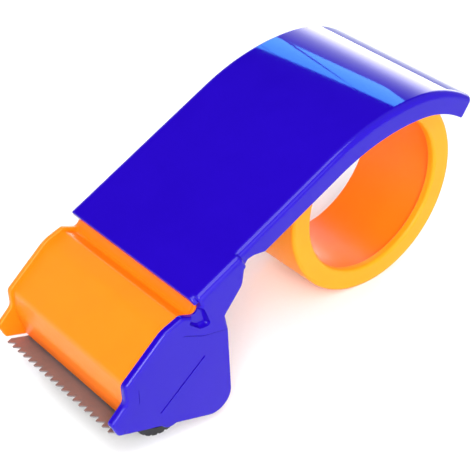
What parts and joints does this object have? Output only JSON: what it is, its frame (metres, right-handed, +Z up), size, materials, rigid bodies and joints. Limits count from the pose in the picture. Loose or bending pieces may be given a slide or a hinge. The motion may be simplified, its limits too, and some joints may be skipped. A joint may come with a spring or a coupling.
{
  "type": "tape dispenser",
  "caption": "Hand-held packing-tape dispenser with a curved cover, a turning tape hub, a fluted press roller and a toothed cutting blade between side cheeks.",
  "frame": {"origin": "under the middle of the whole dispenser, on the surface that the hub and the press roller stand on", "axes": "+Y runs from the blade to the tape hub, +X points to the side of the cover's cheek, +Z is up"},
  "size_m": [0.0644, 0.1684, 0.0887],
  "materials": {
    "blue_plastic": "polished injection-moulded plastic",
    "orange_plastic": "satin injection-moulded plastic",
    "black_rubber": "moulded, fluted",
    "black_plastic": "moulded",
    "nylon": "natural, moulded",
    "bright_steel": "turned and zinc plated",
    "blade_steel": "stamped, hardened"
  },
  "bodies": {
    "dispenser_body": {"cover": "blue_plastic", "frame": "orange_plastic", "cutter_blade": "blade_steel", "blade_screw_near": "bright_steel", "blade_screw_far": "bright_steel", "cover_screw_rear": "bright_steel", "cover_screw_middle": "bright_steel", "cover_screw_front": "bright_steel", "roller_axle": "bright_steel", "guide_axle": "bright_steel"},
    "hub_drum": {"tape_hub": "orange_plastic"},
    "press_roller": {"press_roller_tyre": "black_rubber", "press_roller_core": "black_plastic", "roller_bush_near": "nylon", "roller_bush_far": "nylon"},
    "guide_idler": {"guide_roller": "nylon"}
  },
  "joints": [
    {"name": "hub_spin", "type": "hinge", "parent": "dispenser_body", "child": "hub_drum", "pos_m": [0, 0.04678, 0.03746], "axis": [1, 0, 0], "continuous": true},
    {"name": "press_roller_spin", "type": "hinge", "parent": "dispenser_body", "child": "press_roller", "pos_m": [0, -0.06122, 0.01047], "axis": [1, 0, 0], "continuous": true},
    {"name": "guide_roller_spin", "type": "hinge", "parent": "dispenser_body", "child": "guide_idler", "pos_m": [0, -0.04642, 0.0215], "axis": [1, 0, 0], "continuous": true}
  ]
}
